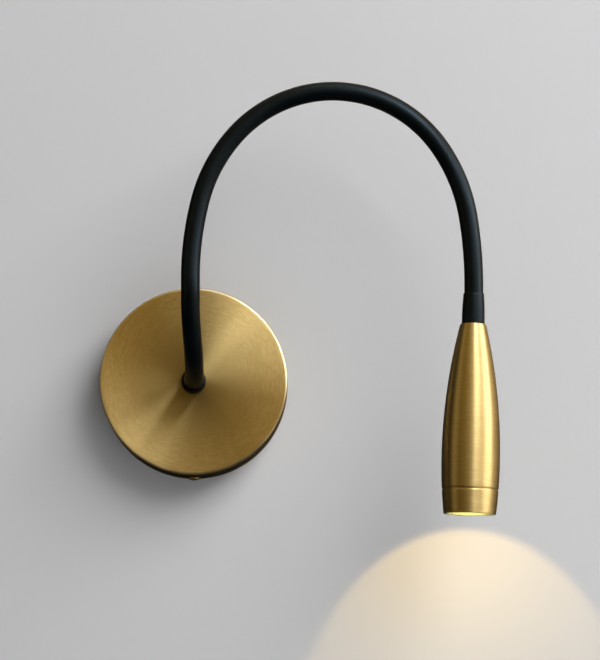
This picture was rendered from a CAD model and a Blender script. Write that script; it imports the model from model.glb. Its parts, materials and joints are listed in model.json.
"""Looks of a wall lamp with a flexible neck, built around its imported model.

The canopy, the neck, the head and their small fittings are drawn here as smooth surfaces from numpy arrays,
each standing for a node of the model. The pieces inside keep the model's own solids and get a finish of their
own. All lengths are metres in the model's frame: the wall is the plane y = 0, the front faces -Y, +Z is up.
"""

from __future__ import annotations

import json
import logging
import math
from dataclasses import dataclass, field
from enum import Enum
from typing import Callable, Iterable

import bmesh
import bpy
import numpy as np
from mathutils import Matrix, Vector

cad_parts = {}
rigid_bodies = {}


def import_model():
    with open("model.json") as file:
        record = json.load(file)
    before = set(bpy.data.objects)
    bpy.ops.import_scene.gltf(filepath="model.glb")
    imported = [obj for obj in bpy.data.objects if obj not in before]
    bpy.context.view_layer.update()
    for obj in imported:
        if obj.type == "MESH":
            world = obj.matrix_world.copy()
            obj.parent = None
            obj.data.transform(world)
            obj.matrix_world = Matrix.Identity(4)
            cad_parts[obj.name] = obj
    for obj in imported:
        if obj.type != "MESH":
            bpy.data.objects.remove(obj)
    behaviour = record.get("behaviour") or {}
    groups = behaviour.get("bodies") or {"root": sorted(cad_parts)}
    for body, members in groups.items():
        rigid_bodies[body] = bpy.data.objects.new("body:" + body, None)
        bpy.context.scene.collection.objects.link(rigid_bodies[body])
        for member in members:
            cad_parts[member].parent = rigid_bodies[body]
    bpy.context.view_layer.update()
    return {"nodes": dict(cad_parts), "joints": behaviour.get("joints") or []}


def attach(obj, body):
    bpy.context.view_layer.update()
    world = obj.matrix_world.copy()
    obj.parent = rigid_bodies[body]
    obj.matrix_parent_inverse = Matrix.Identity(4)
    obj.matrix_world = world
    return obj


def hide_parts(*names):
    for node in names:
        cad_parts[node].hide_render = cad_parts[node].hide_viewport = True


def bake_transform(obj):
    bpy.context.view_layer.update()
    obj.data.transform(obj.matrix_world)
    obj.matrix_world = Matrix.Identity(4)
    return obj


LOG = logging.getLogger("wall_lamp")
BRUSHING = "brushing"
SHARP_ANGLE = math.radians(38)
NOISE_RANGE = (0.3, 0.7)

Array = np.ndarray
Colour = tuple[float, float, float]
Object = bpy.types.Object
Material = bpy.types.Material
Socket = bpy.types.NodeSocket
Outline = Callable[[Array, Array], Array]

RIGHT = np.array([1.0, 0.0, 0.0])
FRONT = np.array([0.0, -1.0, 0.0])
UP = np.array([0.0, 0.0, 1.0])


class Slot(Enum):
    """The record's material slots."""

    BRUSHED_BRASS = "brushed_brass"
    SCREW_BRASS = "screw_brass"
    BLACK_SILICONE = "black_silicone"
    BLACK_PLASTIC = "black_plastic"
    PLATE_STEEL = "plate_steel"
    ZINC_STEEL = "zinc_steel"
    SPRING_STEEL = "spring_steel"
    GREY_PLASTIC = "grey_plastic"
    WHITE_PLASTIC = "white_plastic"
    GREEN_BOARD = "green_board"
    WHITE_BOARD = "white_board"
    BLUE_INSULATION = "blue_insulation"
    GREEN_INSULATION = "green_insulation"
    WHITE_INSULATION = "white_insulation"
    SINK_ALUMINIUM = "sink_aluminium"
    THERMAL_SILICONE = "thermal_silicone"
    PHOSPHOR = "phosphor"
    LENS_GLASS = "lens_glass"
    SEAL_RUBBER = "seal_rubber"


class Ends(Enum):
    """How a skin of rings ends: its last ring meets its first, or both are capped."""

    JOINED = "joined"
    CAPPED = "capped"


# Shapes


@dataclass(frozen=True)
class Placement:
    """Where a turned piece stands: a point on its axis, the axis and a direction square to it."""

    origin: Array
    axis: Array
    side: Array

    @property
    def other(self) -> Array:
        """The direction square to both the axis and the side."""
        return np.cross(self.axis, self.side)

    def at(self, along: float) -> Array:
        """The point on the axis at a distance from the origin."""
        return self.origin + along * self.axis

    def matrix(self) -> Matrix:
        """The matrix at the origin whose local Z is the axis and whose local X is the side."""
        made = np.eye(4)
        made[:3] = np.column_stack([self.side, self.other, self.axis, self.origin])
        return Matrix(made.tolist())


def rounded(corners: Iterable[tuple[float, float, float]], steps: int = 6, closed: bool = True) -> Array:
    """An outline whose corners are rounded by arcs.

    At a corner the arc touches both sides at the distance r / tan(half the angle between them), and its
    points lie at radius r from a centre on the line that halves that angle.

    Args:
        corners: Radius, height and rounding of each corner.
        steps: Pieces that each arc is drawn in.
        closed: Whether the last corner joins the first.

    Returns:
        Radius and height of each point.
    """
    given = list(corners)
    count = len(given)
    points = []
    for i, (x, y, r) in enumerate(given):
        here = np.array([x, y])
        is_end = not closed and i in (0, count - 1)
        if r <= 0.0 or is_end:
            points.append(here[None])
            continue
        back = np.array(given[i - 1][:2]) - here
        ahead = np.array(given[(i + 1) % count][:2]) - here
        back, ahead = back / np.linalg.norm(back), ahead / np.linalg.norm(ahead)
        half = math.acos(float(np.clip(back @ ahead, -1.0, 1.0))) / 2.0
        middle = (back + ahead) / np.linalg.norm(back + ahead)
        centre = here + middle * r / math.sin(half)
        start = here + back * r / math.tan(half) - centre
        end = here + ahead * r / math.tan(half) - centre
        turn = math.atan2(start[0] * end[1] - start[1] * end[0], float(start @ end))
        angle = np.linspace(0.0, turn, steps + 1)[:, None]
        points.append(centre + np.cos(angle) * start + np.sin(angle) * np.array([-start[1], start[0]]))
    return np.concatenate(points)


def linked(name: str, data: bpy.types.ID) -> Object:
    """A new object of the scene."""
    made = bpy.data.objects.new(name, data)
    bpy.context.scene.collection.objects.link(made)
    return made


def skin(name: str, rings: Array, ends: Ends) -> Object:
    """A closed mesh over a stack of rings.

    Each four neighbours (i, j), (i, j+1), (i+1, j+1), (i+1, j) make a face. Its UV map runs round the rings
    in u and along the stack in v, which gives the direction of the brushing.

    Args:
        name: The piece's name.
        rings: Rings, points and coordinates.
        ends: Whether the last ring meets the first or both are capped.

    Returns:
        The new object, at the origin.
    """
    rows, columns = rings.shape[:2]
    index = np.arange(rows * columns).reshape(rows, columns)
    if ends is Ends.JOINED:
        index = np.vstack([index, index[:1]])
    low, high = index[:-1], index[1:]
    faces = np.stack([low, np.roll(low, -1, 1), np.roll(high, -1, 1), high], axis=-1).reshape(-1, 4).tolist()
    if ends is Ends.CAPPED:
        faces += [index[0, ::-1].tolist(), index[-1].tolist()]
    mesh = bpy.data.meshes.new(name)
    mesh.from_pydata(rings.reshape(-1, 3).tolist(), [], faces)
    spans = len(low)
    around = (np.arange(columns) / columns)[None, :, None] + np.array([0.0, 1.0, 1.0, 0.0]) / columns
    along = (np.arange(spans) / spans)[:, None, None] + np.array([0.0, 0.0, 1.0, 1.0]) / spans
    wall = np.stack(np.broadcast_arrays(around, along), axis=-1).reshape(-1, 2)
    uv = np.zeros((len(mesh.loops), 2), np.float32)
    uv[:len(wall)] = wall
    mesh.uv_layers.new(name=BRUSHING).data.foreach_set("uv", uv.ravel())
    return finished(name, mesh)


def finished(name: str, mesh: bpy.types.Mesh) -> Object:
    """A new piece whose faces are turned outwards and shaded smooth between its sharp edges."""
    work = bmesh.new()
    work.from_mesh(mesh)
    bmesh.ops.recalc_face_normals(work, faces=work.faces)
    work.to_mesh(mesh)
    work.free()
    mesh.polygons.foreach_set("use_smooth", np.ones(len(mesh.polygons), bool))
    mesh.set_sharp_from_angle(angle=SHARP_ANGLE)
    return linked(name, mesh)


def lathe(name: str, place: Placement, sides: int, *stretches: Array | list,
          ends: Ends = Ends.JOINED) -> Object:
    """A surface of revolution.

    A point (r, h) of the outline at the angle a goes to origin + h axis + r (cos a side + sin a other).

    Args:
        name: The piece's name.
        place: Where the piece stands.
        sides: Number of points round a ring.
        stretches: Radius and height of each outline point, one row each, in one or more arrays.
        ends: Whether the outline's last point meets its first or both are capped.

    Returns:
        The new piece.
    """
    outline = np.vstack(stretches)
    angle = np.linspace(0.0, 2.0 * np.pi, sides, endpoint=False)
    across = np.cos(angle)[:, None] * place.side + np.sin(angle)[:, None] * place.other
    rings = place.origin + outline[:, 1, None, None] * place.axis + outline[:, 0, None, None] * across
    return skin(name, rings, ends)


def cut(piece: Object, tools: Iterable[Object]) -> Object:
    """Cuts tools out of a piece and removes them.

    Args:
        piece: The piece, which is changed.
        tools: The closed shapes to take away.

    Returns:
        The same piece.
    """
    for tool in tools:
        modifier = piece.modifiers.new("cut", "BOOLEAN")
        modifier.operation, modifier.solver, modifier.object = "DIFFERENCE", "EXACT", tool
        graph = bpy.context.evaluated_depsgraph_get()
        made = bpy.data.meshes.new_from_object(piece.evaluated_get(graph))
        piece.modifiers.clear()
        piece.data = made
        bpy.data.objects.remove(tool)
    piece.data.set_sharp_from_angle(angle=SHARP_ANGLE)
    return piece


def joined(name: str, parts: list[Object]) -> Object:
    """One piece made of several, which stay apart inside its mesh."""
    work = bmesh.new()
    for part in parts:
        work.from_mesh(part.data)
    mesh = bpy.data.meshes.new(name)
    work.to_mesh(mesh)
    work.free()
    for part in parts:
        bpy.data.objects.remove(part)
    return finished(name, mesh)


# Finishes


def toned(colour: Colour, factor: float) -> Colour:
    """A colour times a factor, with no part over 1."""
    return tuple(min(1.0, part * factor) for part in colour)


class Tree:
    """The nodes of a material or of the world, with short calls for those used here."""

    def __init__(self, owner: Material | bpy.types.World) -> None:
        """Takes the owner's node tree."""
        owner.use_nodes = True
        self.nodes, self.links = owner.node_tree.nodes, owner.node_tree.links

    def feed(self, socket: Socket, value: object) -> None:
        """Links a socket to another one, or gives it a colour or a number of its own."""
        if isinstance(value, Socket):
            self.links.new(value, socket)
        else:
            socket.default_value = (*value, 1.0) if socket.type == "RGBA" else value

    def node(self, kind: str, inputs: dict[int | str, object], **settings: object) -> bpy.types.NodeOutputs:
        """Makes a node.

        Args:
            kind: Its kind, without the word that all shader nodes start with.
            inputs: A socket, a colour or a number for each input that is fed.
            settings: Its own settings, made first because some change its inputs.

        Returns:
            Its outputs.
        """
        made = self.nodes.new("ShaderNode" + kind)
        for key, value in settings.items():
            setattr(made, key, value)
        for key, value in inputs.items():
            self.feed(made.inputs[key], value)
        return made.outputs

    def math(self, operation: str, first: object, second: object) -> Socket:
        """The result of one Math node on sockets or numbers."""
        return self.node("Math", {0: first, 1: second}, operation=operation)[0]

    def vector(self, operation: str, first: Socket,
               second: object = (0.0, 0.0, 0.0)) -> bpy.types.NodeOutputs:
        """The outputs of one Vector Math node."""
        return self.node("VectorMath", {0: first, 1: second}, operation=operation)

    def noise(self, vector: Socket, scale: float, detail: float = 2.0) -> Socket:
        """The value of a noise texture."""
        return self.node("TexNoise", {"Vector": vector, "Scale": scale, "Detail": detail})["Fac"]

    def between(self, value: Socket, low: float, high: float, start: float = 0.0, end: float = 1.0) -> Socket:
        """A value from start to end taken smoothly to low to high."""
        inputs = {"Value": value, "From Min": start, "From Max": end, "To Min": low, "To Max": high}
        return self.node("MapRange", inputs, interpolation_type="SMOOTHSTEP")[0]

    def spread(self, noise: Socket, low: float = 0.0, high: float = 1.0) -> Socket:
        """The middle range of a noise taken to low to high."""
        return self.between(noise, low, high, *NOISE_RANGE)

    def blend(self, share: Socket, first: object, second: object) -> Socket:
        """A mix of two colours, each a colour or a socket."""
        return self.node("Mix", {"Factor": share, 6: first, 7: second}, data_type="RGBA")[2]

    def over(self, share: Socket, under: Socket, top: Socket) -> Socket:
        """One shader laid over another by a share."""
        return self.node("MixShader", {0: share, 1: under, 2: top})[0]


class Shader(Tree):
    """The nodes of one material, with a Principled shader on its output."""

    def __init__(self, name: str, **values: object) -> None:
        """Starts the material and sets the shader's own sockets, named with underscores for spaces."""
        self.material = bpy.data.materials.new(name)
        super().__init__(self.material)
        self.base = self.nodes["Principled BSDF"]
        for key, value in values.items():
            self.feed(self.base.inputs[key.replace("_", " ")], value)

    def place(self, placement: Placement | None = None) -> Socket:
        """Object coordinates, seen from a placement if one is given."""
        coordinates = self.node("TexCoord", {})["Object"]
        if placement is None:
            return coordinates
        turn = placement.matrix()
        inputs = {"Vector": coordinates, "Location": turn.to_translation(), "Rotation": turn.to_euler()}
        return self.node("Mapping", inputs, vector_type="TEXTURE")[0]

    def finish(self, colour: Socket, roughness: Socket, height: Socket | None = None, strength: float = 0.0,
               depth: float = 0.0) -> Material:
        """Puts a colour, a roughness and a fine relief on the shader.

        Args:
            colour: The base colour.
            roughness: The roughness.
            height: The relief's pattern, if there is a relief.
            strength: The relief's share, from 0 to 1.
            depth: Its depth in metres.

        Returns:
            The finished material.
        """
        found = {"Base Color": colour, "Roughness": roughness}
        if height is not None:
            inputs = {"Height": height, "Strength": strength, "Distance": depth}
            found["Normal"] = self.node("Bump", inputs)[0]
        for key, value in found.items():
            self.feed(self.base.inputs[key], value)
        return self.material


@dataclass(frozen=True)
class BrushedBrass:
    """Brass brushed round an axis: fine rings, slow changes along them and a gloss spread across them."""

    placement: Placement
    light: Colour = (0.765, 0.613, 0.302)
    deep: Colour = (0.605, 0.472, 0.204)
    rough_low: float = 0.38
    rough_high: float = 0.44
    rough_from: float = 0.25
    rough_to: float = 0.75
    anisotropy: float = 0.85
    brush_turn: float = 0.25
    lacquer: float = 0.25
    line_width: float = 0.00042
    band_width: float = 0.0009
    streaks: float = 7.0
    waver: float = 0.0018
    grain: float = 1.0
    relief: float = 0.00002
    relief_strength: float = 0.18
    centre_shade: float = 1.0
    centre_reach: float = 0.0
    side_from: float = 0.0
    side_shade: float = 0.45
    rim_from: float = 0.0
    rim_rough: float = 0.36
    rim_margin: float = 0.0001
    rim: Colour = (0.92, 0.82, 0.57)
    inside_from: float = 0.0
    inside_radius: float = 0.0
    inside: Colour = (0.90, 0.86, 0.56)
    inside_rough: float = 0.72
    lacquer_rough: float = 0.16
    drift_scale: float = 130.0
    cloud_scale: float = 45.0
    line_share: float = 0.45
    band_share: float = 0.35
    cloud_share: float = 0.2
    tone_range: float = 0.16
    side_fade: float = 0.0006

    def material(self, name: str) -> Material:
        """Makes the material.

        The pattern is read at (x/r, y/r) times the streaks and at r + h over a line's width, where r is the
        distance from the axis and h the distance along it, so every line is a ring round the axis. A slow
        drift of r + h lets the lines waver a little.
        """
        s = Shader(name, Metallic=1.0, Anisotropic=self.anisotropy, Anisotropic_Rotation=self.brush_turn,
                   Coat_Weight=self.lacquer, Coat_Roughness=self.lacquer_rough)
        local = s.place(self.placement)
        x, y, h = s.node("SeparateXYZ", {0: local})
        flat = s.node("CombineXYZ", {0: x, 1: y})[0]
        r = s.vector("LENGTH", flat)["Value"]
        way = s.node("SeparateXYZ", {0: s.vector("NORMALIZE", flat)[0]})
        drift = s.math("MULTIPLY", s.noise(local, self.drift_scale, 1.0), self.waver)
        across = s.math("ADD", s.math("ADD", r, h), drift)

        def rings(width: float, streaks: float) -> Socket:
            """The place at which a ring pattern of one width is read."""
            return s.node("CombineXYZ", {0: s.math("MULTIPLY", way[0], streaks),
                                         1: s.math("MULTIPLY", way[1], streaks),
                                         2: s.math("DIVIDE", across, width)})[0]

        lines = s.noise(rings(self.line_width, self.streaks * 2.0), 1.0, 3.0)
        bands = s.noise(rings(self.band_width, self.streaks), 1.0)
        cloud = s.noise(local, self.cloud_scale)
        tone = s.math("ADD", s.math("MULTIPLY", lines, self.line_share),
                      s.math("MULTIPLY", bands, self.band_share))
        tone = s.math("ADD", tone, s.math("MULTIPLY", cloud, self.cloud_share))
        half = self.tone_range / self.grain
        colour = s.blend(s.between(tone, 0.0, 1.0, 0.5 - half, 0.5 + half), self.deep, self.light)
        if self.centre_reach > 0.0:
            worn = toned(self.deep, self.centre_shade)
            colour = s.blend(s.between(r, 1.0, 0.0, 0.0, self.centre_reach), colour, worn)
        if self.side_from > 0.0:
            back = s.between(h, 1.0, 0.0, self.side_from - self.side_fade, self.side_from)
            colour = s.blend(back, colour, toned(self.deep, self.side_shade))
        roughness = s.between(bands, self.rough_low, self.rough_high, self.rough_from, self.rough_to)
        if self.rim_from > 0.0:
            edge = s.math("MULTIPLY", s.math("GREATER_THAN", r, self.rim_from),
                          s.math("GREATER_THAN", h, self.side_from + self.rim_margin))
            colour = s.blend(edge, colour, self.rim)
            polished = s.math("MULTIPLY", edge, self.rough_low - self.rim_rough)
            roughness = s.math("SUBTRACT", roughness, polished)
        if self.inside_radius > 0.0:
            within = s.math("MULTIPLY", s.math("LESS_THAN", r, self.inside_radius),
                            s.math("GREATER_THAN", h, self.inside_from))
            colour = s.blend(within, colour, self.inside)
            roughness = s.math("MAXIMUM", roughness, s.math("MULTIPLY", within, self.inside_rough))
        tangent = s.node("Tangent", {}, direction_type="UV_MAP", uv_map=BRUSHING)[0]
        s.feed(s.base.inputs["Tangent"], tangent)
        return s.finish(colour, roughness, lines, self.relief_strength, self.relief)


@dataclass(frozen=True)
class Satin:
    """Black rubber or plastic with a soft skin: a fine grain, slow changes in gloss and a cool gleam."""

    base: Colour = (0.0008, 0.0013, 0.0020)
    dusty: Colour = (0.0014, 0.0022, 0.0034)
    rough_low: float = 0.34
    rough_high: float = 0.42
    grain: float = 1500.0
    clouds: float = 60.0
    relief: float = 0.00001
    relief_strength: float = 0.25
    specular: float = 0.27
    gleam: Colour = (0.53, 0.78, 1.0)

    def material(self, name: str) -> Material:
        """Makes the material, with its grain on object coordinates."""
        s = Shader(name, Specular_IOR_Level=self.specular, Specular_Tint=self.gleam)
        place = s.place()
        slow = s.noise(place, self.clouds)
        return s.finish(s.blend(s.spread(slow), self.base, self.dusty),
                        s.spread(slow, self.rough_low, self.rough_high),
                        s.noise(place, self.grain, 3.0), self.relief_strength, self.relief)


@dataclass(frozen=True)
class PlatedSteel:
    """Zinc plated steel: crystal patches with a soft gloss and fine rolling lines."""

    base: Colour = (0.50, 0.51, 0.53)
    pale: Colour = (0.62, 0.62, 0.61)
    rough_low: float = 0.28
    rough_high: float = 0.42
    patch: float = 900.0
    grain: float = 4000.0
    relief: float = 0.00001
    relief_strength: float = 0.2

    def material(self, name: str) -> Material:
        """Makes the material from a cell pattern and a noise."""
        s = Shader(name, Metallic=1.0)
        place = s.place()
        cells = s.node("TexVoronoi", {"Vector": place, "Scale": self.patch})["Color"]
        tone = s.node("RGBToBW", {0: cells})[0]
        return s.finish(s.blend(tone, self.base, self.pale), s.between(tone, self.rough_low, self.rough_high),
                        s.noise(place, self.grain), self.relief_strength, self.relief)


@dataclass(frozen=True)
class Moulded:
    """Moulded plastic or rubber: a fine spark texture and a slight change of tone."""

    base: Colour
    rough: float = 0.45
    rough_change: float = 0.06
    texture: float = 2600.0
    clouds: float = 120.0
    relief: float = 0.00002
    relief_strength: float = 0.3
    tone_change: float = 0.88
    metallic: float = 0.0

    def material(self, name: str) -> Material:
        """Makes the material from two noises."""
        s = Shader(name, Metallic=self.metallic)
        place = s.place()
        spark = s.noise(place, self.texture)
        slow = s.spread(s.noise(place, self.clouds, 3.0))
        return s.finish(s.blend(slow, toned(self.base, self.tone_change), self.base),
                        s.spread(spark, self.rough - self.rough_change, self.rough + self.rough_change),
                        spark, self.relief_strength, self.relief)


@dataclass(frozen=True)
class Laminate:
    """A lacquered circuit board: tracks under the lacquer as a square pattern of a second tone."""

    base: Colour
    track: Colour
    pitch: float = 420.0
    gap: float = 0.06
    track_share: float = 0.7
    weave: float = 3000.0
    rough_low: float = 0.3
    rough_high: float = 0.42
    lacquer: float = 0.6
    lacquer_rough: float = 0.12
    relief: float = 0.00001
    relief_strength: float = 0.2

    def material(self, name: str) -> Material:
        """Makes the material from a brick pattern and a noise."""
        s = Shader(name, Coat_Weight=self.lacquer, Coat_Roughness=self.lacquer_rough)
        place = s.place()
        tracks = s.node("TexBrick", {"Vector": place, "Scale": self.pitch, "Mortar Size": self.gap})["Fac"]
        weave = s.noise(place, self.weave)
        return s.finish(s.blend(s.math("MULTIPLY", tracks, self.track_share), self.base, self.track),
                        s.spread(weave, self.rough_low, self.rough_high), weave, self.relief_strength,
                        self.relief)


@dataclass(frozen=True)
class Phosphor:
    """The lit chip: yellow phosphor dots that glow warm."""

    base: Colour = (0.95, 0.72, 0.25)
    glow: Colour = (1.0, 0.80, 0.48)
    strength: float = 9.0
    dots: float = 1400.0
    dot_from: float = 0.2
    dot_to: float = 0.6
    paler: float = 1.2
    rough_low: float = 0.35
    rough_high: float = 0.5

    def material(self, name: str) -> Material:
        """Makes the material, a shade paler between the dots."""
        s = Shader(name, Emission_Color=self.glow, Emission_Strength=self.strength)
        away = s.node("TexVoronoi", {"Vector": s.place(), "Scale": self.dots})["Distance"]
        share = s.between(away, 0.0, 1.0, self.dot_from, self.dot_to)
        return s.finish(s.blend(share, self.base, toned(self.base, self.paler)),
                        s.between(away, self.rough_low, self.rough_high))


@dataclass(frozen=True)
class LitGlass:
    """Clear moulded glass that carries the lamp's light, with a slight ripple."""

    tint: Colour = (0.97, 0.98, 0.98)
    glow: Colour = (1.0, 0.84, 0.56)
    strength: float = 0.55
    index: float = 1.5
    ripples: float = 420.0
    tone_change: float = 0.98
    rough_low: float = 0.03
    rough_high: float = 0.07
    relief: float = 0.00002
    relief_strength: float = 0.1

    def material(self, name: str) -> Material:
        """Makes the material from one noise."""
        s = Shader(name, Transmission_Weight=1.0, IOR=self.index, Emission_Color=self.glow,
                   Emission_Strength=self.strength)
        ripple = s.noise(s.place(), self.ripples, 1.0)
        return s.finish(s.blend(ripple, toned(self.tint, self.tone_change), self.tint),
                        s.spread(ripple, self.rough_low, self.rough_high), ripple, self.relief_strength,
                        self.relief)


# The neck's centreline


@dataclass(frozen=True)
class Arc:
    """One stretch of the neck's centreline: a circular arc, or a straight line where the bend is 0."""

    start: Array
    tangent: Array
    side: Array
    axis: Array
    length: float
    bend: float

    @staticmethod
    def towards(start: Array, tangent: Array, side: Array, end: Array) -> Arc:
        """The arc that leaves start along tangent and reaches end.

        With b the angle between the tangent and the chord c, the arc turns by 2b and is |c| b / sin b long.

        Args:
            start: Where it starts.
            tangent: Its direction there.
            side: A direction square to the tangent, carried along.
            end: Where it ends.

        Returns:
            The arc, or a straight line if the end lies straight ahead.
        """
        chord = end - start
        reach = float(np.linalg.norm(chord))
        normal = np.cross(tangent, chord / reach)
        sine = float(np.linalg.norm(normal))
        if sine < 1e-6:
            return Arc(start, tangent, side, side, reach, 0.0)
        half = math.asin(min(1.0, sine))
        return Arc(start, tangent, side, normal / sine, reach * half / sine, 2.0 * half)

    def at(self, distance: Array) -> tuple[Array, Array, Array]:
        """Points, tangents and sides at distances from the start.

        At the angle a = bend s / length, the point is start + R (sin a T + (1 - cos a) (axis x T)), and each
        direction is turned about the axis by a. A straight stretch goes on past both of its ends.

        Args:
            distance: Distances along the arc.

        Returns:
            The points, the tangents and the sides, one row for each distance.
        """
        s = np.atleast_1d(distance)[:, None]
        if self.bend == 0.0:
            ones = np.ones_like(s)
            return self.start + s * self.tangent, ones * self.tangent, ones * self.side
        a = self.bend * s / self.length
        radius = self.length / self.bend
        inwards = np.cross(self.axis, self.tangent)
        point = self.start + radius * (np.sin(a) * self.tangent + (1.0 - np.cos(a)) * inwards)
        tangent = np.cos(a) * self.tangent + np.sin(a) * inwards
        along = float(self.side @ self.axis)
        flat = self.side - along * self.axis
        side = along * self.axis + np.cos(a) * flat + np.sin(a) * np.cross(self.axis, flat)
        return point, tangent, side

    def end(self) -> tuple[Array, Array, Array]:
        """The point, tangent and side at the arc's end."""
        return tuple(v[0] for v in self.at(np.array([self.length])))


@dataclass
class NeckLine:
    """The neck's centreline, from the canopy's face through the joints to the head's top.

    The joints' places come from the frame. Each arc starts along the last one's end, so the line is smooth.
    """

    joints: list[Array]
    start: Array
    last_bend: float = math.radians(10.4)
    straight_end: float = 0.016
    lean: float = 0.0013
    lean_from: float = 0.0045
    lean_full: float = 0.026
    lean_back: float = 0.036
    lean_to: float = 0.072
    arcs: list[Arc] = field(default_factory=list)
    places: list[float] = field(default_factory=list)

    def __post_init__(self) -> None:
        """Works out the arcs and the distance of each joint along the line."""
        point, tangent, side = self.start, FRONT, RIGHT
        self.places.append(0.0)
        for joint in self.joints:
            arc = Arc.towards(point, tangent, side, joint)
            self.arcs.append(arc)
            self.places.append(self.places[-1] + arc.length)
            point, tangent, side = arc.end()
        before = self.arcs[-1]
        self.arcs.append(Arc(point, tangent, side, before.axis, before.length, self.last_bend))
        point, tangent, side = self.arcs[-1].end()
        self.arcs.append(Arc(point, tangent, side, side, self.straight_end, 0.0))
        self.places += [self.places[-1] + before.length]
        self.places += [self.places[-1] + self.straight_end]

    @property
    def total(self) -> float:
        """Distance of the head's top along the line."""
        return self.places[-1]

    def head(self) -> Placement:
        """Where the head stands: its top, and its axis towards the mouth."""
        point, tangent, side = self.arcs[-1].end()
        return Placement(point, tangent, side)

    def at(self, distance: Array) -> tuple[Array, Array, Array]:
        """Points, tangents and sides at distances along the whole line.

        The elbow leans to +X by a bulge that rises smoothly from lean_from to lean_full and falls to 0
        between lean_back and lean_to.

        Args:
            distance: Distances from the canopy's face.

        Returns:
            The points, the tangents and the sides, one row for each distance.
        """
        s = np.atleast_1d(distance)
        found = np.clip(np.searchsorted(self.places, s, side="right") - 1, 0, len(self.arcs) - 1)
        parts = [np.zeros((len(s), 3)) for _ in range(3)]
        for k in np.unique(found):
            here = found == k
            for whole, values in zip(parts, self.arcs[k].at(s[here] - self.places[k])):
                whole[here] = values
        rise = smooth_step((s - self.lean_from) / (self.lean_full - self.lean_from))
        fall = smooth_step((s - self.lean_back) / (self.lean_to - self.lean_back))
        parts[0][:, 0] += self.lean * rise * (1.0 - fall)
        return parts[0], parts[1], parts[2]


def smooth_step(t: Array) -> Array:
    """0 before 0, 1 after 1 and t * t * (3 - 2 t) between."""
    t = np.clip(t, 0.0, 1.0)
    return t * t * (3.0 - 2.0 * t)


# Sub-assemblies


def settle(piece: Object, material: Material, slot: Slot, *nodes: str) -> Object:
    """Gives a new piece its finish and slot, and hides the nodes that it stands for.

    Args:
        piece: The piece.
        material: Its finish.
        slot: The record's slot for it.
        nodes: The nodes that it replaces.

    Returns:
        The same piece.
    """
    piece.data.materials.clear()
    piece.data.materials.append(material)
    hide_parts(*nodes)
    LOG.info("%s: %d faces, stands for %s", piece.name, len(piece.data.polygons), ", ".join(nodes))
    return piece


def area_light(name: str, shape: str, size: tuple[float, float], power: float, colour: Colour,
               place: Placement) -> Object:
    """A flat light that shines against its placement's axis and that the camera doesn't see.

    Args:
        name: The light's name.
        shape: DISK or RECTANGLE.
        size: Its size along the placement's side and across it.
        power: Its power in watts.
        colour: Its colour.
        place: Where it stands.

    Returns:
        The light.
    """
    data = bpy.data.lights.new(name, "AREA")
    data.shape, data.energy, data.color = shape, power, colour
    data.size, data.size_y = size
    light = linked(name, data)
    light.matrix_world = place.matrix()
    light.visible_camera = False
    return light


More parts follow.
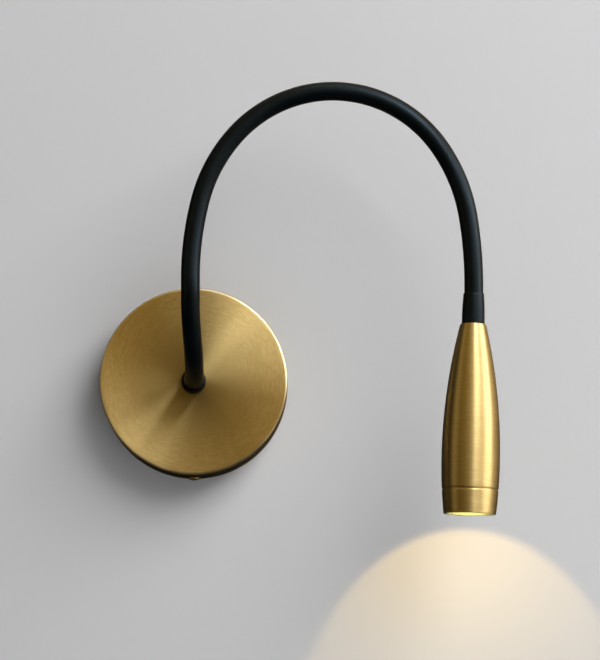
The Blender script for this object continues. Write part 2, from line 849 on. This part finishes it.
@dataclass
class Canopy:
    """The round cover on the wall, its two screws and the collar from which the neck leaves."""

    radius: float = 0.050
    depth: float = 0.028
    wall: float = 0.0012
    face: float = 0.0015
    edge: float = 0.0013
    rim_edge: float = 0.0003
    hole: float = 0.0051
    screw_out: float = 0.009
    screw_hole: float = 0.0017
    screw_shank: float = 0.0015
    screw_head: float = 0.0028
    screw_head_height: float = 0.0015
    screw_reach: float = 0.0067
    screw_slot: float = 0.0007
    screw_slot_depth: float = 0.0006
    collar_radius: float = 0.0067
    collar_length: float = 0.005
    collar_foot: float = 0.0008
    collar_bore: float = 0.00495
    collar_top: float = 0.00525
    collar_bevel: float = 0.0001
    sides: int = 256
    drill_sides: int = 48
    screw_sides: int = 64
    collar_sides: int = 96
    face_rings: int = 24
    dome_rings: int = 7
    collar_rings: int = 17

    @property
    def placement(self) -> Placement:
        """The canopy's axis, out of the wall."""
        return Placement(np.zeros(3), FRONT, RIGHT)

    def cover(self) -> Object:
        """The cup, turned from its outline with a rounded front edge, and drilled for its screws."""
        inner, back = self.radius - self.wall, self.depth - self.face
        outline = rounded([
            (inner, 0.0, self.rim_edge), (self.radius, 0.0, self.rim_edge),
            (self.radius, self.depth, self.edge), (self.hole, self.depth, self.rim_edge),
            (self.hole, back, self.rim_edge), (inner, back, self.edge)])
        face = np.linspace(self.radius - self.edge, self.hole + self.rim_edge, self.face_rings)[1:-1]
        at = int(np.argmax((outline[:, 1] >= self.depth - 1e-9) & (outline[:, 0] < self.radius / 2)))
        outline = np.insert(outline, at, np.column_stack([face, np.full(len(face), self.depth)]), axis=0)
        piece = lathe("canopy_cover_skin", self.placement, self.sides, outline)
        return cut(piece, [self.drill(side) for side in (-1.0, 1.0)])

    def drill(self, side: float) -> Object:
        """A round tool through the rim, at its top or its bottom."""
        outline = [[self.screw_hole, 0.0], [self.screw_hole, 4.0 * self.wall]]
        place = self.screw_place(side, -2.0 * self.wall)
        return lathe("drill", place, self.drill_sides, outline, ends=Ends.CAPPED)

    def screw_place(self, side: float, out: float) -> Placement:
        """Where a cover screw stands, side being -1 below and 1 above, at a distance out of the rim."""
        return Placement(self.screw_out * FRONT + side * (self.radius + out) * UP, side * UP, RIGHT)

    def screw(self, side: float) -> Object:
        """A pan head screw: a shank, a round head with a domed top and a slot.

        At the share t of the way from its foot to its middle, the dome's radius is the head's times
        cos(t pi / 2.2) and its height the head's times 0.45 + 0.55 t to the power 3/4.
        """
        place = self.screw_place(side, 0.0)
        shank, head, top = self.screw_shank, self.screw_head, self.screw_head_height
        way = np.linspace(0.0, 1.0, self.dome_rings)
        cap = np.column_stack([head * np.cos(way * np.pi / 2.2), top * (0.45 + 0.55 * way ** 0.75)])
        body = [[0.6 * shank, -self.screw_reach], [shank, 0.4 * shank - self.screw_reach], [shank, 0.0],
                [0.96 * head, 0.0], [head, 0.08 * top]]
        piece = lathe("screw", place, self.screw_sides, body, cap, ends=Ends.CAPPED)
        return cut(piece, [self.slot_tool(place, top)])

    def slot_tool(self, place: Placement, top: float) -> Object:
        """The bar that cuts a screw's slot, across the head and along the wall."""
        half = np.array([1.5 * self.screw_head, self.screw_slot / 2.0])
        corner = np.array([[-1.0, -1.0], [1.0, -1.0], [1.0, 1.0], [-1.0, 1.0]]) * half
        across = corner[:, :1] * place.side + corner[:, 1:] * place.other
        levels = np.array([top - self.screw_slot_depth, 2.0 * top])
        return skin("bar", place.origin + levels[:, None, None] * place.axis + across[None], Ends.CAPPED)

    def collar(self) -> Object:
        """The black collar, a low dome round the neck.

        Over a quarter turn its radius falls from the foot's to the top's as the cosine to the power 0.8, and
        it rises as the sine.
        """
        turn = np.linspace(0.0, 1.0, self.collar_rings) * np.pi / 2.0
        foot, bore, top = self.collar_foot, self.collar_bore, self.collar_top
        dome = np.column_stack([top + (self.collar_radius - top) * np.cos(turn) ** 0.8,
                                foot + (self.collar_length - foot) * np.sin(turn)])
        base = [[bore, 0.0], [self.collar_radius - self.collar_bevel, 0.0],
                [self.collar_radius, self.collar_bevel]]
        place = Placement(self.depth * FRONT, FRONT, RIGHT)
        top_edge = [bore, self.collar_length]
        return lathe("neck_collar_skin", place, self.collar_sides, base, dome, top_edge)

    def build(self, black: Material) -> None:
        """Builds and dresses the canopy's own pieces."""
        brass = BrushedBrass(self.placement, rough_low=0.43, rough_high=0.53, anisotropy=0.76,
                             centre_shade=0.68, centre_reach=self.radius, side_from=self.depth - self.edge,
                             rim_from=self.radius - 0.75 * self.edge)
        turned_brass = BrushedBrass(Placement(self.screw_out * FRONT, UP, RIGHT), rough_low=0.30,
                                    rough_high=0.42, anisotropy=0.4, band_width=0.0004)
        cover = settle(self.cover(), brass.material("brass_brushed_round_canopy"), Slot.BRUSHED_BRASS,
                       "canopy_cover")
        screws = settle(joined("cover_screws_turned", [self.screw(side) for side in (-1.0, 1.0)]),
                        turned_brass.material("brass_turned_screws"), Slot.SCREW_BRASS, "cover_screws")
        collar = settle(self.collar(), black, Slot.BLACK_PLASTIC, "neck_collar")
        for piece in (cover, screws, collar):
            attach(piece, "base")


@dataclass(frozen=True)
class Layer:
    """One layer of the neck: where it runs, how finely it is drawn, its radii and its finish.

    The outer radius is a function of distance and angle, and a bore of 0 makes a rod. If has_first is set,
    the model has a solid of it numbered 0, for which the piece over joint 1 stands too.
    """

    kind: str
    look: str
    start: float
    end: float
    step: float
    sides: int
    outer: Outline
    bore: float
    material: Material
    slot: Slot
    has_first: bool = True


@dataclass
class Neck:
    """The flexible neck: sleeve, wound core and lead, each in pieces that bend across one joint."""

    line: NeckLine
    bodies: list[str]
    sleeve_radius: float = 0.0049
    sleeve_bore: float = 0.00405
    sleeve_from: float = 0.003
    sleeve_end_back: float = 0.006
    core_radius: float = 0.0040
    core_bore: float = 0.0020
    core_from: float = -0.006
    core_past: float = 0.012
    lead_radius: float = 0.0015
    lead_from: float = 0.0082
    lead_past: float = 0.013
    wire_pitch: float = 0.0022
    wire_groove: float = 0.00022
    rigid: float = 0.002
    collar_length: float = 0.005
    from_outer: int = 8

    def tube(self, layer: Layer, joint: int, start: float, end: float) -> Object:
        """A stretch of a layer, a tube or a rod along the line.

        The point at the distance s and the angle a is c(s) + r(s, a) (cos a side + sin a (tangent x side)). A
        tube's rings run out along the outside and come back along its bore, and a rod's are capped.

        Args:
            layer: The layer.
            joint: The joint that the stretch crosses.
            start: Distance along the line at which it starts.
            end: Distance at which it ends.

        Returns:
            The new piece.
        """
        s = np.linspace(start, end, max(2, int(round((end - start) / layer.step)) + 1))
        angle = np.linspace(0.0, 2.0 * np.pi, layer.sides, endpoint=False)
        point, tangent, side = self.line.at(s)
        other = np.cross(tangent, side)
        across = np.cos(angle)[None, :, None] * side[:, None] + np.sin(angle)[None, :, None] * other[:, None]
        wall = point[:, None] + layer.outer(s[:, None], angle[None])[..., None] * across
        name = f"neck_{layer.kind}_{joint}_{layer.look}"
        if layer.bore <= 0.0:
            return skin(name, wall, Ends.CAPPED)
        inside = (point[:, None] + layer.bore * across)[::-1]
        return skin(name, np.concatenate([wall, inside]), Ends.JOINED)

    def bend(self, piece: Object, joint: int, start: float, end: float) -> None:
        """Lets a piece turn smoothly across a joint, and leaves its two ends rigid.

        The joint from_outer is counted from its outer body, which means the same. The turn is worked out from
        the two bodies' matrices, and rounding can spoil it. This order was chosen because it measured right
        with each joint, and with all of them, at their limits. At other angles a piece can still be thrown
        out of place.

        Args:
            piece: The piece.
            joint: The joint that it crosses.
            start: Distance along the line at which it starts.
            end: Distance at which it ends.
        """
        places = self.line.places
        zone_start = max(start, self.collar_length) if joint == 1 else start
        zone_end = min(end, places[joint] + (places[2] - places[1]) / 2.0)
        points, _, _ = self.line.at(np.array([zone_start + self.rigid, zone_end - self.rigid]))
        ends = [(self.bodies[joint - 1], tuple(points[0])), (self.bodies[joint], tuple(points[1]))]
        if joint == self.from_outer:
            ends.reverse()
        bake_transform(piece)

    def wound(self, s: Array, a: Array) -> Array:
        """A helical groove: the radius falls where the turn a and the distance s are in step."""
        wave = 0.5 - 0.5 * np.cos(a - 2.0 * np.pi * s / self.wire_pitch)
        return self.core_radius - self.wire_groove * (1.0 - wave ** 0.5)

    def layers(self, black: Material, steel: Material, white: Material) -> tuple[Layer, ...]:
        """The neck's layers, from the outside in."""
        total = self.line.total

        def plain(radius: float) -> Outline:
            """The same radius everywhere."""
            return lambda s, a: radius + 0.0 * (s + a)

        return (
            Layer("sleeve", "skin", self.sleeve_from, total - self.sleeve_end_back, 0.001, 48,
                  plain(self.sleeve_radius), self.sleeve_bore, black, Slot.BLACK_SILICONE),
            Layer("core", "wound", self.core_from, total + self.core_past, self.wire_pitch / 4.0, 24,
                  self.wound, self.core_bore, steel, Slot.SPRING_STEEL),
            Layer("lead", "skin", self.lead_from, total + self.lead_past, 0.002, 20,
                  plain(self.lead_radius), 0.0, white, Slot.WHITE_INSULATION, has_first=False))

    def build(self, black: Material, steel: Material, white: Material) -> None:
        """Builds the layers' pieces, which meet in the middle of each section and stand for its solids."""
        places = self.line.places
        middles = [(a + b) / 2.0 for a, b in zip(places[1:9], places[2:10])]
        for layer in self.layers(black, steel, white):
            cuts = [layer.start, *middles, layer.end]
            for joint, (start, end) in enumerate(zip(cuts, cuts[1:]), 1):
                piece = self.tube(layer, joint, start, end)
                first = [f"neck_{layer.kind}_0"] if joint == 1 and layer.has_first else []
                settle(piece, layer.material, layer.slot, f"neck_{layer.kind}_{joint}", *first)
                self.bend(piece, joint, start, end)


@dataclass
class Head:
    """The slim head: its ferrule, shell, bezel and lens, and the two lights that follow it."""

    placement: Placement
    radius: float = 0.01505
    top_radius: float = 0.00665
    mouth_radius: float = 0.0135
    shell_length: float = 0.0856
    length: float = 0.0982
    belly_at: float = 0.070
    wall: float = 0.0015
    solid_top: float = 0.010
    spigot: float = 0.0068
    spigot_wall: float = 0.0012
    mouth_wall: float = 0.0012
    seam: float = 0.0006
    chamfer: float = 0.0004
    top_round: float = 0.0006
    bore: float = 0.00495
    bore_round: float = 0.0001
    ferrule_length: float = 0.016
    ferrule_top: float = 0.0053
    ferrule_foot: float = 0.00595
    ferrule_round: float = 0.00025
    lens_flange_from: float = 0.0902
    lens_flange_to: float = 0.0918
    lens_radius: float = 0.0113
    lens_tip: float = 0.0052
    lens_tip_at: float = 0.0822
    lens_cone: float = 0.0096
    lens_hollow: float = 0.0025
    lens_hollow_length: float = 0.003
    lens_pole: float = 0.0004
    lens_shoulder: float = 0.0004
    lip_from: float = 0.0924
    lip_to: float = 0.0936
    lip_radius: float = 0.0101
    beam_half_angle: float = math.radians(39.6)
    beam_lean: float = math.radians(53.4)
    beam_side: float = 0.03
    beam_ahead: float = 0.0045
    beam_source: float = 0.002
    beam_fade: float = 0.17
    glow_ahead: float = 0.0003
    bevel: float = 0.0002
    fit: float = 0.00005
    sides: int = 192
    small_sides: int = 96
    ferrule_rings: int = 25
    lens_rings: int = 20

    def outline(self, start: float, end: float, inset: float = 0.0, step: float = 0.0008) -> Array:
        """The head's outline between two distances from its top.

        It is two circular arcs that share a tangent at the belly. Each has the radius (d * d + e * e) / 2e, d
        being its length along the axis and e how far it draws in.

        Args:
            start: Distance from the top at which it starts.
            end: Distance at which it ends.
            inset: How far inside the outline the points lie.
            step: Greatest distance between two points.

        Returns:
            Radius and height of each point.
        """
        at = np.linspace(start, end, max(2, int(math.ceil((end - start) / step)) + 1))
        top_drop, mouth_drop = self.radius - self.top_radius, self.radius - self.mouth_radius
        top = (self.belly_at ** 2 + top_drop ** 2) / (2.0 * top_drop)
        below = self.length - self.belly_at
        mouth = (below ** 2 + mouth_drop ** 2) / (2.0 * mouth_drop)
        curve = np.where(at < self.belly_at, top, mouth)
        radius = self.radius - curve + np.sqrt(curve ** 2 - (at - self.belly_at) ** 2)
        return np.column_stack([radius - inset, at])

    def radius_at(self, at: float) -> float:
        """The outline's radius at one distance from the top."""
        return float(self.outline(at, at + 1e-6)[0, 0])

    @property
    def thread(self) -> float:
        """Radius of the thread that joins the shell and the bezel."""
        return self.radius_at(self.shell_length) - self.wall

    def shell(self) -> Object:
        """The bullet shell, solid at its top and hollow below."""
        seam, top_round = self.shell_length, self.top_round
        edge, spigot_top = seam - self.seam / 2.0, seam - self.spigot
        groove = self.radius_at(seam) - self.seam
        shoulder = rounded([(self.bore, 0.0, self.bore_round),
                            (self.radius_at(0.0) - self.fit, 0.0, top_round),
                            (self.radius_at(2.0 * top_round), 2.0 * top_round, 0.0)], 8, closed=False)
        outside = self.outline(2.2 * top_round, edge - self.bevel)
        lip = [[self.radius_at(edge) - 0.75 * self.bevel, edge], [groove, edge], [groove, seam],
               [self.thread, seam], [self.thread, spigot_top]]
        inside = self.outline(self.solid_top, spigot_top, self.wall, 0.002)[::-1]
        return lathe("head_shell_skin", self.placement, self.sides, shoulder, outside, lip, inside,
                     [self.bore, self.solid_top])

    def bezel(self) -> Object:
        """The ring below the seam, with its spigot, the lip under the lens and the open mouth."""
        seam, length, chamfer = self.shell_length, self.length, self.chamfer
        edge, spigot_top = seam + self.seam / 2.0, seam - self.spigot
        spigot = self.thread - self.fit
        bore = spigot - self.spigot_wall
        groove = self.radius_at(seam) - self.seam
        rim = self.radius_at(edge)
        mouth = self.mouth_radius - self.mouth_wall
        before = [[bore, spigot_top], [spigot, spigot_top], [spigot, seam], [groove, seam], [groove, edge],
                  [rim - 0.8 * chamfer, edge], [rim - 0.3 * chamfer, edge + 0.35 * chamfer]]
        outside = self.outline(edge + chamfer, length - self.bevel)
        after = [[self.mouth_radius - self.bevel, length], [mouth + self.bevel, length],
                 [mouth, length - self.bevel], [mouth, self.lip_to], [self.lip_radius, self.lip_to],
                 [self.lip_radius, self.lip_from], [bore, self.lip_from]]
        return lathe("bezel_skin", self.placement, self.sides, before, outside, after)

    def ferrule(self) -> Object:
        """The tapered ferrule: from its foot to its top, t from 0 to 1, it narrows as t to the power 2.2."""
        top, foot, length = self.ferrule_top, self.ferrule_foot, self.ferrule_length
        t = np.linspace(0.0, 1.0, self.ferrule_rings)[:-1]
        flare = np.column_stack([foot - (foot - top) * t ** 2.2, -length * t])
        rim = rounded([(top, -0.97 * length, 0.0), (top, -length, self.ferrule_round),
                       (self.bore, -length, 0.0)], 5, closed=False)
        return lathe("head_ferrule_skin", self.placement, self.small_sides, flare, rim, [self.bore, 0.0])

    def lens(self) -> Object:
        """The clear lens: a cone from the tip over the chip to the flange, swelling as t to the power 0.9."""
        tip, hollow, deep = self.lens_tip_at, self.lens_hollow, self.lens_hollow_length
        t = np.linspace(0.0, 1.0, self.lens_rings)
        cone = np.column_stack([self.lens_tip + (self.lens_cone - self.lens_tip) * t ** 0.9,
                                tip + (self.lens_flange_from - self.lens_shoulder - tip) * t])
        start = [[self.lens_pole, tip + deep + self.bevel], [0.6 * hollow, tip + deep],
                 [hollow, tip + 0.7 * deep], [hollow, tip]]
        flange = [[self.lens_cone, self.lens_flange_from], [self.lens_radius, self.lens_flange_from],
                  [self.lens_radius, self.lens_flange_to], [self.lens_pole, self.lens_flange_to]]
        return lathe("lens_clear", self.placement, self.small_sides, start, cone, flange, ends=Ends.CAPPED)

    def lens_light(self, power: float, colour: Colour) -> Object:
        """The light that leaves the lens and shines on the mouth's wall, which follows the head."""
        place = Placement(self.placement.at(self.lip_to + self.glow_ahead), -self.placement.axis,
                          self.placement.side)
        width = 2.0 * self.lip_radius
        return area_light("lens_light", "DISK", (width, width), power, colour, place)

    def beam(self, power: float, colour: Colour) -> Object:
        """The lamp's beam, which starts at the mouth, leans towards the wall and follows the head."""
        data = bpy.data.lights.new("beam", "SPOT")
        data.energy, data.color, data.shadow_soft_size = power, colour, self.beam_source
        data.spot_size, data.spot_blend = 2.0 * self.beam_half_angle, self.beam_fade
        light = linked("beam", data)
        light.location = self.placement.at(self.length + self.beam_ahead)
        wall = np.array([self.beam_side, 1.0, 0.0])
        way = math.cos(self.beam_lean) * self.placement.axis + math.sin(self.beam_lean) * wall
        light.rotation_euler = Vector((-way).tolist()).to_track_quat("Z", "Y").to_euler()
        return light

    def build(self, black: Material) -> None:
        """Builds and dresses the head's own pieces."""
        brass = BrushedBrass(self.placement, rough_low=0.43, rough_high=0.48, streaks=1.5, waver=0.0004,
                             grain=0.75, relief_strength=0.06, inside_from=self.lip_to,
                             inside_radius=self.mouth_radius - 0.5 * self.mouth_wall)
        metal = brass.material("brass_brushed_round_head")
        made = [settle(self.shell(), metal, Slot.BRUSHED_BRASS, "head_shell"),
                settle(self.bezel(), metal, Slot.BRUSHED_BRASS, "bezel"),
                settle(self.ferrule(), black, Slot.BLACK_PLASTIC, "head_ferrule"),
                settle(self.lens(), LitGlass().material("glass_of_the_lens"), Slot.LENS_GLASS, "lens")]
        for piece in made:
            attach(piece, "head")
        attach(self.lens_light(0.0036, (0.97, 1.0, 0.48)), "head")
        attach(self.beam(0.215, (1.0, 0.67, 0.19)), "head")


@dataclass
class InnerPieces:
    """The solids that keep the model's own shape: fixings, driver, terminals, leads and the light engine.

    The neck's solids, for which new pieces stand, get their kind of finish here too.
    """

    nodes: dict[str, Object]
    finishes: dict[Slot, Material]
    wear: dict[Slot, tuple[str, ...]] = field(default_factory=lambda: {
        Slot.PLATE_STEEL: ("mount_plate",),
        Slot.ZINC_STEEL: ("neck_nipple", "lock_washer", "lock_nut", "driver_screws", "terminal_screws",
                          "earth_screw", "head_nipple", "head_lock_nut", "board_screws"),
        Slot.GREY_PLASTIC: ("driver_case", "driver_lid"), Slot.WHITE_PLASTIC: ("terminal_block",),
        Slot.BLACK_PLASTIC: ("lens_holder",), Slot.SEAL_RUBBER: ("bezel_seal",),
        Slot.GREEN_BOARD: ("driver_board",), Slot.WHITE_BOARD: ("led_board",), Slot.PHOSPHOR: ("led_chip",),
        Slot.SINK_ALUMINIUM: ("heat_sink",), Slot.THERMAL_SILICONE: ("thermal_pad",),
        Slot.BLUE_INSULATION: ("mains_leads",), Slot.GREEN_INSULATION: ("earth_lead",),
        Slot.WHITE_INSULATION: ("output_leads", "head_leads", "neck_lead"),
        Slot.BLACK_SILICONE: ("neck_sleeve",), Slot.SPRING_STEEL: ("neck_core",)})

    def build(self) -> None:
        """Gives each its finish. The neck's solids carry a number after the name of their kind."""
        for slot, names in self.wear.items():
            for name in names:
                found = [node for key, node in self.nodes.items() if name in (key, key.rsplit("_", 1)[0])]
                if not found:
                    raise KeyError(f"the model has no {name}")
                for node in found:
                    self.dress(node, self.finishes[slot])
                LOG.info("%s: %s on %d nodes", name, slot.value, len(found))

    @staticmethod
    def dress(node: Object, material: Material) -> None:
        """Gives a solid of the model its finish."""
        if not node.material_slots:
            node.data.materials.append(material)
        for place in node.material_slots:
            place.material = material


def plain_finishes() -> dict[Slot, Material]:
    """The finishes that follow no axis, one for each slot that uses one."""
    kinds = {
        Slot.BLACK_SILICONE: Satin(),
        Slot.BLACK_PLASTIC: Satin(base=(0.0014, 0.0015, 0.0016), rough_low=0.36, rough_high=0.44),
        Slot.PLATE_STEEL: PlatedSteel(patch=420.0),
        Slot.ZINC_STEEL: PlatedSteel(patch=1800.0),
        Slot.SPRING_STEEL: PlatedSteel(base=(0.34, 0.35, 0.37), pale=(0.44, 0.45, 0.46), patch=2400.0),
        Slot.GREY_PLASTIC: Moulded((0.66, 0.66, 0.64)),
        Slot.WHITE_PLASTIC: Moulded((0.82, 0.82, 0.80), rough=0.4),
        Slot.GREEN_BOARD: Laminate((0.015, 0.12, 0.05), (0.04, 0.22, 0.09)),
        Slot.WHITE_BOARD: Laminate((0.80, 0.81, 0.81), (0.70, 0.71, 0.72), pitch=300.0),
        Slot.BLUE_INSULATION: Moulded((0.05, 0.13, 0.45), rough=0.38, relief=0.00001),
        Slot.GREEN_INSULATION: Moulded((0.13, 0.36, 0.07), rough=0.38, relief=0.00001),
        Slot.WHITE_INSULATION: Moulded((0.78, 0.78, 0.76), rough=0.42, relief=0.00001),
        Slot.SINK_ALUMINIUM: Moulded((0.68, 0.69, 0.70), rough=0.35, metallic=1.0),
        Slot.THERMAL_SILICONE: Moulded((0.52, 0.54, 0.58), rough=0.7),
        Slot.PHOSPHOR: Phosphor(),
        Slot.SEAL_RUBBER: Satin(base=(0.012, 0.012, 0.012), dusty=(0.02, 0.02, 0.02), rough_low=0.6,
                                rough_high=0.75)}
    return {slot: kind.material(slot.value) for slot, kind in kinds.items()}


# Studio


@dataclass(frozen=True)
class SoftLight:
    """A flat soft light that looks at the lamp.

    It stands at a tilt from the wall's normal, towards an hour of the clock on the wall. Its length lies
    along that tilt. It may light matt surfaces, gloss or both.
    """

    name: str
    hour: float
    tilt: float
    distance: float
    length: float
    width: float
    radiance: float
    matt: bool = True
    gloss: bool = True
    colour: Colour = (1.0, 1.0, 1.0)

    def build(self, centre: Array) -> None:
        """Makes the light. Its power is radiance times pi times its area."""
        hour, tilt = math.radians(30.0 * self.hour), math.radians(self.tilt)
        outward = math.sin(hour) * RIGHT + math.cos(hour) * UP
        way = math.sin(tilt) * outward + math.cos(tilt) * FRONT
        along = math.cos(tilt) * outward - math.sin(tilt) * FRONT
        light = area_light(self.name, "RECTANGLE", (self.length, self.width),
                           self.radiance * math.pi * self.length * self.width, self.colour,
                           Placement(centre + way * self.distance, way, along))
        light.visible_diffuse, light.visible_glossy = self.matt, self.gloss


@dataclass(frozen=True)
class Studio:
    """A pale wall that sweeps into a pale floor, soft lights round the lamp and a dim room."""

    wall_colour: Colour = (0.60, 0.60, 0.605)
    wall_rough: float = 0.9
    wall_specular: float = 0.2
    cloud_scale: float = 3.0
    cloud_shade: float = 0.985
    mirrored_low: Colour = (0.020, 0.019, 0.017)
    mirrored_high: Colour = (0.58, 0.45, 0.28)
    wall_gap: float = 0.0003
    floor_level: float = -0.62
    sweep: float = 0.22
    sweep_steps: int = 25
    half_width: float = 2.4
    height: float = 1.6
    reach: float = 3.0
    opening: float = 0.0492
    mirrored_from: float = 0.06
    mirrored_to: float = 0.47
    room_level: float = 0.04
    room_colour: Colour = (0.98, 0.985, 1.0)
    room_dark: Colour = (0.0, 0.0, 0.0)
    room_bright: Colour = (0.615, 0.415, 0.125)
    room_rise: float = 0.9
    centre: tuple[float, float, float] = (0.05, -0.05, 0.0)
    lights: tuple[SoftLight, ...] = (
        SoftLight("key_light", hour=1.0, tilt=50.0, distance=0.95, length=0.55, width=0.13, radiance=17.0,
                  matt=False),
        SoftLight("second_light", hour=1.95, tilt=48.0, distance=1.2, length=0.6, width=0.3, radiance=3.4,
                  matt=False),
        SoftLight("right_light", hour=2.35, tilt=74.0, distance=1.9, length=1.15, width=1.1, radiance=4.8,
                  matt=False),
        SoftLight("top_light", hour=0.4, tilt=66.0, distance=1.9, length=0.6, width=1.2, radiance=2.4,
                  matt=False),
        SoftLight("left_light", hour=9.3, tilt=68.0, distance=1.3, length=0.55, width=0.9, radiance=0.34,
                  matt=False, colour=(1.0, 0.80, 0.46)),
        SoftLight("shadow_light", hour=1.42, tilt=55.0, distance=2.0, length=2.3, width=1.15, radiance=6.5,
                  gloss=False),
        SoftLight("front_light", hour=1.5, tilt=14.0, distance=2.4, length=1.1, width=0.8, radiance=2.1,
                  gloss=False),
        SoftLight("rear_light", hour=1.0, tilt=145.0, distance=1.6, length=0.9, width=0.9, radiance=3.4))

    def backdrop(self) -> Object:
        """The wall and floor as one sheet: straight down, a quarter circle of radius sweep, and level."""
        angle = np.linspace(0.0, np.pi / 2.0, self.sweep_steps)
        curve = np.column_stack([self.wall_gap - self.sweep * (1.0 - np.cos(angle)),
                                 self.floor_level + self.sweep * (1.0 - np.sin(angle))])
        line = np.vstack([[self.wall_gap, self.height], curve, [-self.reach, self.floor_level]])
        across = np.array([-self.half_width, self.half_width])
        grid = np.zeros((len(line), 2, 3))
        grid[..., 0], grid[..., 1], grid[..., 2] = across[None], line[:, :1], line[:, 1:]
        index = np.arange(len(line) * 2).reshape(-1, 2)
        faces = np.stack([index[:-1, 0], index[1:, 0], index[1:, 1], index[:-1, 1]], axis=-1)
        mesh = bpy.data.meshes.new("backdrop")
        mesh.from_pydata(grid.reshape(-1, 3).tolist(), [], faces.tolist())
        mesh.polygons.foreach_set("use_smooth", np.ones(len(mesh.polygons), bool))
        mesh.materials.append(self.paint())
        return linked("backdrop", mesh)

    def paint(self) -> Material:
        """Pale matt paint on the sheet's front; its back lets everything through.

        In the lamp's mirrored surfaces the paint shows deeper, and deepest at the lower left. The sheet is
        open behind the canopy, where a wall has its cable, so light from behind reaches the canopy's back.
        """
        s = Shader("pale_matt_paint", Roughness=self.wall_rough, Specular_IOR_Level=self.wall_specular)
        place = s.place()
        x, _, z = s.node("SeparateXYZ", {0: place})
        away = s.vector("LENGTH", s.node("CombineXYZ", {0: x, 1: z})[0])["Value"]
        clouds = s.noise(place, self.cloud_scale)
        plain = s.blend(clouds, toned(self.wall_colour, self.cloud_shade), self.wall_colour)
        corner = s.between(s.math("ADD", x, z), 0.0, 1.0, self.mirrored_from, self.mirrored_to)
        mirrored = s.blend(corner, self.mirrored_low, self.mirrored_high)
        colour = s.blend(s.node("LightPath", {})["Is Glossy Ray"], plain, mirrored)
        s.feed(s.base.inputs["Base Color"], colour)
        clear = s.math("MAXIMUM", s.node("NewGeometry", {})["Backfacing"],
                       s.math("LESS_THAN", away, self.opening))
        shown = s.over(clear, s.base.outputs[0], s.node("BsdfTransparent", {})[0])
        s.feed(s.nodes["Material Output"].inputs["Surface"], shown)
        return s.material

    def room(self) -> None:
        """The even light of the room, with a pale background past the sheet.

        Mirrored surfaces see the room rise from dark at the lower left to a warm tone at the upper right.
        """
        world = bpy.context.scene.world or bpy.data.worlds.new("room")
        bpy.context.scene.world = world
        t = Tree(world)
        t.nodes.clear()

        def plain(colour: Colour, strength: float = 1.0) -> Socket:
            """One plain background."""
            return t.node("Background", {"Color": colour, "Strength": strength})[0]

        path = t.node("LightPath", {})
        half_right = (math.sqrt(0.5), 0.0, math.sqrt(0.5))
        towards = t.vector("DOT_PRODUCT", t.node("TexCoord", {})["Generated"], half_right)["Value"]
        reach = {"From Min": -self.room_rise, "From Max": self.room_rise}
        rise = t.node("MapRange", {"Value": towards, **reach})[0]
        mirrored = t.over(rise, plain(self.room_dark), plain(self.room_bright))
        shown = t.over(path["Is Glossy Ray"], plain(self.room_colour, self.room_level), mirrored)
        shown = t.over(path["Is Camera Ray"], shown, plain(self.wall_colour))
        t.feed(t.nodes.new("ShaderNodeOutputWorld").inputs["Surface"], shown)

    def build(self) -> None:
        """Sets up the backdrop, the room and the lights."""
        self.backdrop()
        self.room()
        for light in self.lights:
            light.build(np.array(self.centre))
        bpy.context.scene.view_settings.view_transform = "Standard"


@dataclass(frozen=True)
class Viewpoint:
    """The photograph's viewpoint: a little to the right of the canopy and below it, looking slightly up."""

    place: tuple[float, float, float] = (0.05673, -1.8000, -0.19013)
    pitch: float = 7.0
    focal_pixels: float = 3346.0
    frame_height: float = 660.0
    sensor: float = 36.0
    near: float = 0.05
    far: float = 50.0

    def build(self) -> None:
        """Makes the scene's camera. Its sensor is as wide as the frame's longer side."""
        data = bpy.data.cameras.new("camera")
        data.sensor_width = self.sensor
        data.lens = self.focal_pixels * self.sensor / self.frame_height
        data.clip_start, data.clip_end = self.near, self.far
        camera = linked("camera", data)
        camera.location = self.place
        camera.rotation_euler = (math.radians(90.0 + self.pitch), 0.0, 0.0)
        bpy.context.scene.camera = camera


def main() -> None:
    """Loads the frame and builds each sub-assembly in order."""
    logging.basicConfig(level=logging.INFO, format="%(name)s: %(message)s")
    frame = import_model()
    Viewpoint().build()
    Studio().build()
    finishes = plain_finishes()
    canopy = Canopy()
    canopy.build(finishes[Slot.BLACK_PLASTIC])
    joints = frame["joints"]
    bodies = [joints[0]["parent"], *(joint["child"] for joint in joints)]
    line = NeckLine([np.array(joint["pos_m"]) for joint in joints], canopy.depth * FRONT)
    Neck(line, bodies).build(finishes[Slot.BLACK_SILICONE], finishes[Slot.SPRING_STEEL],
                             finishes[Slot.WHITE_INSULATION])
    Head(line.head()).build(finishes[Slot.BLACK_PLASTIC])
    InnerPieces(frame["nodes"], finishes).build()


if __name__ == "__main__":
    main()
